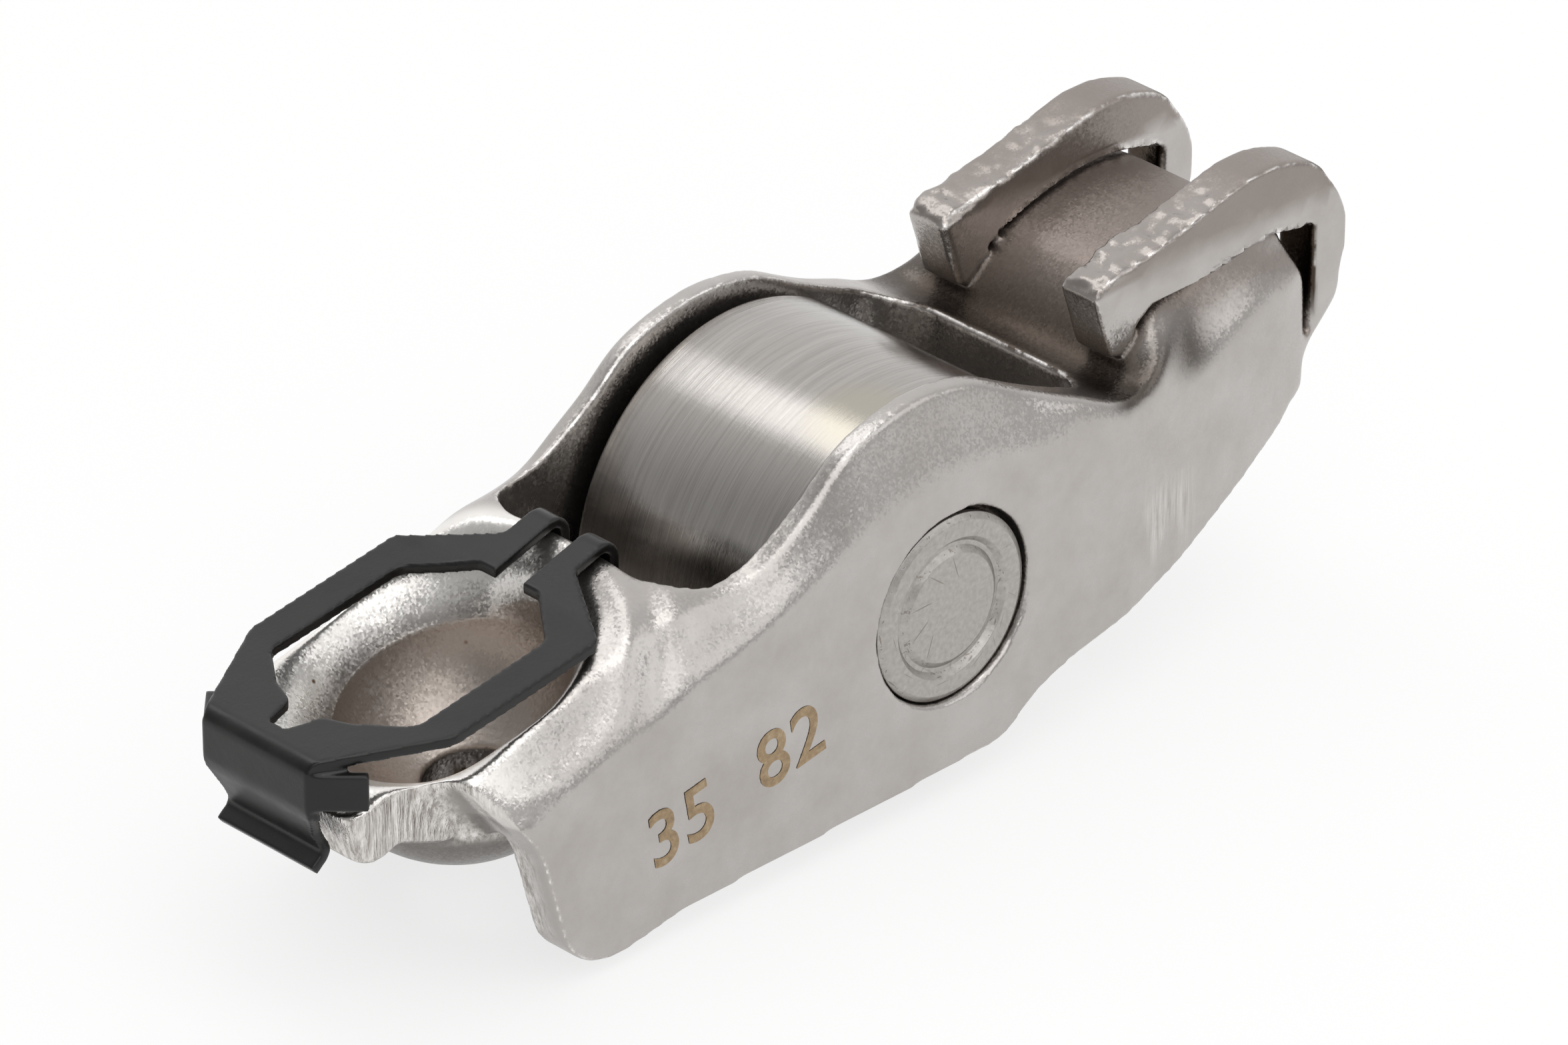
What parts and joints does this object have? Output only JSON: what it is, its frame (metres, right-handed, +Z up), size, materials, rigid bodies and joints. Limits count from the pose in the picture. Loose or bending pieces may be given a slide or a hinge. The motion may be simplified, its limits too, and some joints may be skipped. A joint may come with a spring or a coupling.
{
  "type": "roller finger follower",
  "caption": "Stamped steel valve-train rocker arm with a ball socket, a needle-bearing cam roller, a guided valve pad and a spring retaining clip.",
  "frame": {"origin": "centre of the cam roller, on its axis and on the lever's mid-plane", "axes": "+X from the ball socket to the valve pad, +Y along the roller's axis, +Z up as it lies, valve side up"},
  "size_m": [0.0541, 0.015, 0.0197],
  "materials": {
    "tumbled_steel": "tumbled satin",
    "ground_steel": "ground",
    "pin_steel": "satin",
    "bearing_steel": "polished",
    "black_spring_steel": "black oxide, satin"
  },
  "bodies": {
    "lever": {"lever_body": "tumbled_steel", "axle_pin": "pin_steel", "retaining_clip": "black_spring_steel"},
    "roller": {"roller": "ground_steel"},
    "needle_set": {"needle_01": "bearing_steel", "needle_02": "bearing_steel", "needle_03": "bearing_steel", "needle_04": "bearing_steel", "needle_05": "bearing_steel", "needle_06": "bearing_steel", "needle_07": "bearing_steel", "needle_08": "bearing_steel", "needle_09": "bearing_steel", "needle_10": "bearing_steel", "needle_11": "bearing_steel", "needle_12": "bearing_steel", "needle_13": "bearing_steel", "needle_14": "bearing_steel", "needle_15": "bearing_steel", "needle_16": "bearing_steel", "needle_17": "bearing_steel", "needle_18": "bearing_steel"}
  },
  "joints": [
    {"name": "roller_spin", "type": "hinge", "parent": "lever", "child": "roller", "pos_m": [0, 0, 0], "axis": [0, 1, 0], "continuous": true},
    {"name": "needle_orbit", "type": "hinge", "parent": "lever", "child": "needle_set", "pos_m": [0, 0, 0], "axis": [0, 1, 0], "continuous": true}
  ],
  "couplings": [
    {"joint": "needle_orbit", "follows": "roller_spin", "ratio": 0.5883}
  ]
}
